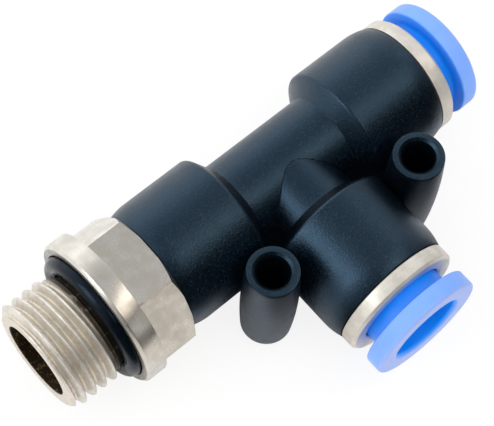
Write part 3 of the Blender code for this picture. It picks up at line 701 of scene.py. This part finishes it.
def housing(finish, shade, shoulder_shade):
    """The body with its webs, bosses and hollows. shade is the matt finish of painted shade on webs
    and holes.
    """
    outline = mirrored(barrel_outline(NECK_RADIUS, STUD_BARREL_END))
    outline += barrel_outline(NECK_RADIUS, PORT_END)
    body = spun("moulded_housing", divided(outline), BODY_FACETS, RUN, finish)
    branch = [(0.0, 0.0), (0.0, BRANCH_NECK_RADIUS)] + barrel_outline(BRANCH_NECK_RADIUS, PORT_END)
    steps = [
        (spun("branch_body", divided(branch), BODY_FACETS, BRANCH), "UNION"),
        (crease_cutter(), "DIFFERENCE"),
    ]
    holes = []
    for side, sign in (("stud", -1.0), ("port", 1.0)):
        inner = NECK_RADIUS - WEB_SINK
        ends = sorted((sign * inner, sign * BOSS_ALONG_RUN))
        low = (ends[0], -BOSS_FROM_RUN, -WEB_THICKNESS / 2.0)
        high = (ends[1], -inner, WEB_THICKNESS / 2.0)
        web = boxes(side + "_boss_web", [(low, high, 0.0)], RUN)
        # Painted shade: the web gets the dark matt finish
        web.data.materials.append(shade)
        steps.append((web, "UNION"))
        stand = RUN @ Matrix.Translation(Vector((sign * BOSS_ALONG_RUN, -BOSS_FROM_RUN, 0.0)) * MM)
        stand = stand @ Matrix.Rotation(math.radians(-90.0), 4, "Y")
        steps.append((spun(side + "_boss", divided(boss_outline()), BOSS_FACETS, stand), "UNION"))
        # Painted shade: the hole and the deep part of its chamfers get the dark matt finish
        holes.append(spun(side + "_boss_hole", screw_hole_outline(), BOSS_FACETS, stand, shade))
        for end, rim in (("low", mirrored(chamfer_rim_outline())), ("high", chamfer_rim_outline())):
            holes.append(spun(side + "_boss_" + end + "_rim", rim, BOSS_FACETS, stand))
    run_hollow = mirrored(stud_hollow()) + port_hollow(RUN_PASSAGE_RADIUS)
    steps.append((spun("run_hollow", run_hollow, HOLLOW_FACETS, RUN), "DIFFERENCE"))
    branch_hollow = [(0.0, 0.0), (0.0, BRANCH_PASSAGE_RADIUS)] + port_hollow(BRANCH_PASSAGE_RADIUS)
    steps.append((spun("branch_hollow", branch_hollow, HOLLOW_FACETS, BRANCH), "DIFFERENCE"))
    steps += [(hole, "DIFFERENCE") for hole in holes]
    combined(body, steps)
    # Painted shade: the stud's and the branch's shoulders get the plastic of less gloss
    shade_shoulders(body, shoulder_shade)
    return body


# ---------------------------------------------------------------- threaded stud

def stud_angles():
    """Even steps, with closer ones at the corners of the hexagon."""
    even = np.radians(HEX_ANGLE) + np.arange(STUD_FACETS) * TURN / STUD_FACETS
    land = math.degrees(math.acos(HEX_FLAT_RADIUS / HEX_BLANK_RADIUS))
    beside = 30.0 - land
    extra = []
    for corner in range(6):
        for offset in (-beside - 0.35, -beside, beside, beside + 0.35):
            extra.append(math.radians(HEX_ANGLE + 60.0 * corner + offset))
    return np.sort(np.concatenate([even, extra]))


def hex_radius(angles):
    """Distance of the hexagon's surface from the axis, with its corners turned off."""
    from_flat = (np.degrees(angles) - HEX_ANGLE) % 60.0 - 30.0
    return np.minimum(HEX_FLAT_RADIUS / np.cos(np.radians(from_flat)), HEX_BLANK_RADIUS)


def thread_radius(along, angles):
    """Whitworth form: 55 degree flanks, rounded crests and roots, chamfered at both ends."""
    rounding = THREAD_ROUNDING * THREAD_PITCH
    crest = THREAD_MAJOR - rounding
    root = THREAD_MAJOR - THREAD_DEPTH * THREAD_PITCH + rounding
    tangent = rounding * math.cos(FLANK_ANGLE)
    phase = ((along - THREAD_ORIGIN) / THREAD_PITCH - angles / TURN + 0.5) % 1.0
    off = np.abs(phase - 0.5) * THREAD_PITCH
    from_root = THREAD_PITCH / 2.0 - off
    flank_top = crest + rounding * math.sin(FLANK_ANGLE)
    flank = flank_top - (off - tangent) / math.tan(FLANK_ANGLE)
    top = crest + np.sqrt(np.maximum(rounding ** 2 - off ** 2, 0.0))
    bottom = root - np.sqrt(np.maximum(rounding ** 2 - from_root ** 2, 0.0))
    radius = np.where(off < tangent, top, np.where(from_root < tangent, bottom, flank))
    nose_limit = THREAD_MAJOR - max(0.0, along - (STUD_NOSE - NOSE_CHAMFER))
    run_out = RELIEF_RADIUS + max(0.0, along - THREAD_START) * THREAD_END_SLOPE
    full = RUN_OUT_RADIUS + (along - FULL_THREAD_START) * THREAD_END_SLOPE
    limit = min(nose_limit, max(min(run_out, RUN_OUT_RADIUS), full))
    return np.maximum(np.minimum(radius, limit), RELIEF_RADIUS)


def threaded_stud(finish):
    """Spigot, hexagon, collar with its face groove, thread and bore, as loops from end to end."""
    angles = stud_angles()
    flats = hex_radius(angles)
    chamfer = math.tan(math.radians(30.0))
    chamfer_end = HEX_START + np.maximum(flats - HEX_CHAMFER_RADIUS, 0.0) * chamfer + 0.03
    end_rim = np.minimum(flats, HEX_CHAMFER_RADIUS)
    loops = rounded([
        (SPIGOT_START, PASSAGE_RADIUS, 0.1),
        (SPIGOT_START, SPIGOT_RADIUS - SPIGOT_CHAMFER, 0.1),
        (SPIGOT_START + SPIGOT_CHAMFER, SPIGOT_RADIUS, 0.1),
        (SEAL_GROOVE_START, SPIGOT_RADIUS, 0.05),
        (SEAL_GROOVE_START, SEAL_GROOVE_RADIUS, 0.1),
        (SEAL_GROOVE_END, SEAL_GROOVE_RADIUS, 0.1),
        (SEAL_GROOVE_END, SPIGOT_RADIUS, 0.05),
        (RING_GROOVE_START, SPIGOT_RADIUS, 0.05),
        (RING_GROOVE_START, RING_GROOVE_RADIUS, 0.05),
        (RING_GROOVE_END, RING_GROOVE_RADIUS, 0.05),
        (RING_GROOVE_END, SPIGOT_RADIUS, 0.05),
        (HEX_START, SPIGOT_RADIUS),
        (HEX_START, HEX_BACK_RADIUS),
    ], 2)[:-1]
    loops += [
        (HEX_START, end_rim - 0.05),
        (HEX_START + 0.015, end_rim - 0.012),
        (HEX_START + 0.03, end_rim),
        (chamfer_end - 0.02, flats - 0.02),
        (chamfer_end + 0.02, flats),
    ]
    first, last = HEX_START + 0.7, HEX_END - 0.15
    loops += [(first + (last - first) * step / 5.0, flats) for step in range(1, 6)]
    loops += [
        (HEX_END - 0.07, flats + 0.02),
        (HEX_END - 0.02, flats + 0.07),
        (HEX_END, np.minimum(flats + 0.15, COLLAR_RADIUS - 0.12)),
    ]
    loops += rounded([
        (HEX_END, COLLAR_RADIUS - 0.11),
        (HEX_END, COLLAR_RADIUS, 0.09),
        (SEAL_FACE - COLLAR_CHAMFER, COLLAR_RADIUS, 0.1),
        (SEAL_FACE, COLLAR_RADIUS - COLLAR_CHAMFER, 0.1),
        (SEAL_FACE, FACE_GROOVE_RADIUS, 0.05),
        (FACE_GROOVE_FLOOR, FACE_GROOVE_RADIUS, 0.1),
        (FACE_GROOVE_FLOOR, RELIEF_RADIUS, 0.1),
        (THREAD_START, RELIEF_RADIUS),
    ], 3)[1:-1]
    length = STUD_NOSE - LIP - THREAD_START
    steps = round(length / THREAD_STEP)
    for step in range(steps + 1):
        along = THREAD_START + length * step / steps
        loops.append((along, thread_radius(along, angles)))
    loops += [
        (STUD_NOSE, thread_radius(STUD_NOSE - LIP, angles) - 0.05),
        (STUD_NOSE, BORE_RADIUS + 0.16),
        (STUD_NOSE - LIP, BORE_RADIUS + 0.07),
        (STUD_NOSE - 0.12, BORE_RADIUS + 0.01),
        (STUD_NOSE - 0.25, BORE_RADIUS),
        (STUD_NOSE - 3.0, BORE_RADIUS),
        (STUD_NOSE - 6.5, BORE_RADIUS),
        (BORE_END + BORE_CONE, BORE_RADIUS),
        (BORE_END, PASSAGE_RADIUS),
        (PASSAGE_MIDDLE, PASSAGE_RADIUS),
    ]
    return rings("plated_stud", loops, angles, STUD, finish, 24.0)


# ---------------------------------------------------------------- seals, rings and sleeves

def face_seal(finish):
    centre = (FACE_SEAL_ALONG, FACE_SEAL_RADIUS)
    section = arc(centre, FACE_SEAL_SECTION_RADIUS, 0.0, 360.0, 40)[:-1]
    return spun("face_seal", section, RING_FACETS, STUD, finish)


def guide_ring(name, place, finish):
    """The ring at the port's mouth, with the barbed skirt that holds it in the housing."""
    profile = rounded([
        (GUIDE_SKIRT_START, GUIDE_SKIRT_HOLE, 0.05),
        (GUIDE_SKIRT_START, GUIDE_SKIRT_RADIUS, 0.05),
        (GUIDE_BARB_END, GUIDE_BARB_RADIUS, 0.03),
        (GUIDE_BARB_END, GUIDE_SKIRT_RADIUS, 0.03),
        (GUIDE_START, GUIDE_SKIRT_RADIUS),
        (GUIDE_START, GUIDE_RADIUS, 0.05),
        (GUIDE_END - GUIDE_CHAMFER, GUIDE_RADIUS, 0.12),
        (GUIDE_END, GUIDE_RADIUS - GUIDE_CHAMFER, 0.12),
        (GUIDE_END, GUIDE_MOUTH_RADIUS + GUIDE_MOUTH_CHAMFER, 0.08),
        (GUIDE_END - GUIDE_MOUTH_CHAMFER, GUIDE_MOUTH_RADIUS, 0.08),
        (GUIDE_SHELF, GUIDE_MOUTH_RADIUS),
        (GUIDE_SHELF, GUIDE_SKIRT_HOLE),
    ], 4)
    return spun(name, divided(profile), RING_FACETS, place, finish)


def release_sleeve(name, place, finish):
    """The push button: a slotted neck with a bead that keeps it in its guide ring, and a flange."""
    profile = rounded([
        (SLEEVE_NOSE, SLEEVE_HOLE_RADIUS, 0.1),
        (SLEEVE_NOSE, SLEEVE_NOSE_RADIUS, 0.15),
        (BEAD_START, SLEEVE_NOSE_RADIUS, 0.1),
        (BEAD_TOP, BEAD_RADIUS, 0.1),
        (BEAD_END, BEAD_RADIUS, 0.08),
        (BEAD_END, SLEEVE_NECK_RADIUS, 0.08),
        (FLANGE_BACK, SLEEVE_NECK_RADIUS, 0.5),
        (FLANGE_BACK, FLANGE_RADIUS, 0.2),
        (SLEEVE_FRONT, FLANGE_RADIUS, 0.36),
        (SLEEVE_FRONT, SLEEVE_HOLE_RADIUS + SLEEVE_MOUTH_CHAMFER, 0.15),
        (SLEEVE_FRONT - SLEEVE_MOUTH_CHAMFER, SLEEVE_HOLE_RADIUS, 0.3),
    ], 6)
    sleeve = spun(name, divided(profile), RING_FACETS, place, finish)
    low = (SLEEVE_NOSE - OVERRUN, -SLOT_WIDTH / 2.0, SLEEVE_HOLE_RADIUS - OVERRUN)
    high = (SLOT_END, SLOT_WIDTH / 2.0, BEAD_RADIUS + OVERRUN)
    slots = [(low, high, (slot + 0.5) * 360.0 / SLOTS) for slot in range(SLOTS)]
    return combined(sleeve, [(boxes(name + "_slots", slots, place), "DIFFERENCE")])


# ---------------------------------------------------------------- stage, light and camera

def camera():
    """The photograph's view."""
    turn, height, roll = map(math.radians, (CAMERA_TURN, CAMERA_HEIGHT, CAMERA_ROLL))
    level, rise = math.cos(height), math.sin(height)
    back = Vector((math.sin(turn) * level, -math.cos(turn) * level, rise))
    right = Vector((math.cos(turn), math.sin(turn), 0.0))
    up = back.cross(right)
    across = math.cos(roll) * right + math.sin(roll) * up
    upward = math.cos(roll) * up - math.sin(roll) * right
    data = bpy.data.cameras.new("photo_camera")
    data.sensor_width = SENSOR_WIDTH
    data.lens = FOCAL_LENGTH * SENSOR_WIDTH / PICTURE_WIDTH
    data.clip_start = 0.005
    data.clip_end = 20.0
    made = bpy.data.objects.new("photo_camera", data)
    bpy.context.scene.collection.objects.link(made)
    matrix = Matrix((across, upward, back)).transposed().to_4x4()
    matrix.translation = Vector(CAMERA_PLACE) * MM
    made.matrix_world = matrix
    bpy.context.scene.camera = made


def softbox(name, direction, distance, width, height, level, colour=WHITE):
    """A lamp that faces the object, in metres. level is how bright its face is; 1 is white."""
    data = bpy.data.lights.new(name, "AREA")
    data.shape = "RECTANGLE"
    data.size = width
    data.size_y = height
    data.energy = level * math.pi * width * height
    data.color = colour
    made = bpy.data.objects.new(name, data)
    bpy.context.scene.collection.objects.link(made)
    toward = Vector(direction).normalized()
    made.location = CROSSING + toward * distance
    made.rotation_euler = toward.to_track_quat("Z", "Y").to_euler()
    made.visible_camera = False
    return made


def background():
    """Pale floor that keeps a soft shadow, and the studio world."""
    bm = bmesh.new()
    bmesh.ops.create_grid(bm, x_segments=1, y_segments=1, size=FLOOR_HALF)
    floor = object_from("floor", bm, Matrix.Translation((0.0, 0.0, -FLOOR_DROP)))
    made = bpy.data.materials.new("pale_floor")
    made.use_nodes = True
    nodes = Nodes(made.node_tree)
    nodes.tree.nodes.clear()
    path = nodes.add("ShaderNodeLightPath")
    place = nodes.add("ShaderNodeTexCoord").outputs["Object"]
    side = nodes.add("ShaderNodeSeparateXYZ", {0: place}).outputs["Y"]
    # Painted shade: in front of the object the floor is darker for glossy rays only
    gloss_shade = nodes.spread(side, *GLOSS_SHADE_EDGE, 1.0 - FLOOR_GLOSS, 1.0 - FLOOR_GLOSS + GLOSS_SHADE_DEPTH)
    gloss_shade = nodes.math("MULTIPLY", gloss_shade, path.outputs["Is Glossy Ray"])
    tone = nodes.math("SUBTRACT", 1.0, gloss_shade)
    colour = nodes.add("ShaderNodeCombineColor", {0: tone, 1: tone, 2: tone}).outputs[0]
    matt = nodes.add("ShaderNodeBsdfDiffuse", {"Color": colour})
    white = nodes.add("ShaderNodeEmission", {"Color": (*WHITE, 1.0)})
    share = nodes.math("MULTIPLY", path.outputs["Is Camera Ray"], WHITE_SHARE)
    mixed = nodes.add("ShaderNodeMixShader", {0: share, 1: matt.outputs[0], 2: white.outputs[0]})
    nodes.add("ShaderNodeOutputMaterial", {0: mixed.outputs[0]})
    floor.data.materials.append(made)

    world = bpy.data.worlds.new("studio")
    world.use_nodes = True
    bpy.context.scene.world = world
    nodes = Nodes(world.node_tree)
    nodes.tree.nodes.clear()
    path = nodes.add("ShaderNodeLightPath")
    toward = nodes.add("ShaderNodeTexCoord").outputs["Generated"]
    side = nodes.add("ShaderNodeSeparateXYZ", {0: toward}).outputs["Y"]
    back = nodes.spread(side, 0.4, 0.97, ZENITH_LEVEL, BACK_LEVEL)
    front = nodes.spread(side, -0.62, -0.12, FRONT_SHARE, 1.0)
    level = nodes.math("MULTIPLY", back, front)
    studio = nodes.add("ShaderNodeBackground", {"Color": (*WHITE, 1.0), "Strength": level})
    white = nodes.add("ShaderNodeBackground", {"Color": (*WHITE, 1.0)})
    mixed = nodes.add("ShaderNodeMixShader", {
        0: path.outputs["Is Camera Ray"], 1: studio.outputs[0], 2: white.outputs[0],
    })
    nodes.add("ShaderNodeOutputWorld", {0: mixed.outputs[0]})


def lights(bright_pieces):
    """Boxes seen in the gloss, a matt light from above and two low lights for bright pieces only."""
    softbox("overhead", (0.30, -0.43, 0.85), 0.6, 0.5, 0.20, 2.0, WARM_LIGHT)
    softbox("left_box", (-0.79, 0.29, 0.54), 0.6, 0.3, 0.42, 2.6)
    softbox("right_box", (0.74, 0.29, 0.61), 0.6, 0.3, 0.3, 0.6)
    above = softbox("above", (-0.15, -0.3, 0.94), 1.2, 1.6, 1.6, 1.4)
    above.visible_glossy = False
    front = softbox("front_box", (0.30, -0.87, 0.38), 0.6, 0.5, 0.25, 0.55)
    reflector = softbox("reflector", (0.0, 0.0, -1.0), 0.1, 0.2, 0.08, 0.8, CREAM_LIGHT)
    reflector.location = REFLECTOR_PLACE
    receivers = bpy.data.collections.new("bright_pieces")
    for piece in bright_pieces:
        receivers.objects.link(piece)
    for lamp in (front, reflector):
        lamp.light_linking.receiver_collection = receivers


# ---------------------------------------------------------------- the object

def dress():
    """Makes and places every piece and gives the carried-over ones their finish.

    Returns the plated and blue pieces.
    """
    plastic = black_plastic("moulded_black_plastic", 1.0)
    # Painted shade: a copy of the plastic with less gloss, for the barrels' shoulders
    shoulder_shade = black_plastic("shoulder_shade_black_plastic", 0.3)
    rubber = patched(
        "black_rubber", 1.4, RUBBER_TONES, (0.16, 0.3), (9.0, 0.003),
        IOR=1.5, Specular_IOR_Level=0.3, Specular_Tint=RUBBER_GLOSS_TINT,
    )
    steel = patched(
        "spring_steel", 2.0, STEEL_TONES, (0.24, 0.34), (14.0, 0.0015), Metallic=1.0,
    )
    white = patched(
        "natural_white_plastic", 1.2, NATURAL_TONES, (0.42, 0.5), (8.0, 0.003), IOR=PLASTIC_IOR,
    )

    def put(piece, body, node):
        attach(piece, body)
        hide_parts(node)

    put(housing(plastic, painted_shade_plastic(), shoulder_shade), "housing", "housing")
    stud = threaded_stud(plated("plated_stud", STUD, thread=True))
    put(stud, "stud", "threaded_stud")
    bright = [stud]
    put(face_seal(rubber), "stud", "face_seal_ring")
    for prefix, place, neck_light in (("run", RUN, 0.0), ("branch", BRANCH, 0.45)):
        plating = plated(prefix + "_ring_plating", place, metallic=0.75, dull=0.2)
        ring = guide_ring(prefix + "_ring", place, plating)
        put(ring, "housing", prefix + "_guide_ring")
        blue = blue_plastic(prefix + "_blue_plastic", place, neck_light)
        sleeve = release_sleeve(prefix + "_sleeve", place, blue)
        put(sleeve, prefix + "_sleeve", prefix + "_release_sleeve")
        bright += [ring, sleeve]

    kept = {
        "stud_seal_ring": rubber, "stud_retaining_ring": steel,
        "run_lock_claws": steel, "branch_lock_claws": steel,
        "run_claw_spacer": white, "branch_claw_spacer": white,
        "run_tube_seal": rubber, "branch_tube_seal": rubber,
    }
    for node, finish in kept.items():
        for slot in NODES[node].material_slots:
            slot.material = finish
    return bright


lights(dress())
background()
camera()
bpy.context.scene.view_settings.view_transform = "Standard"
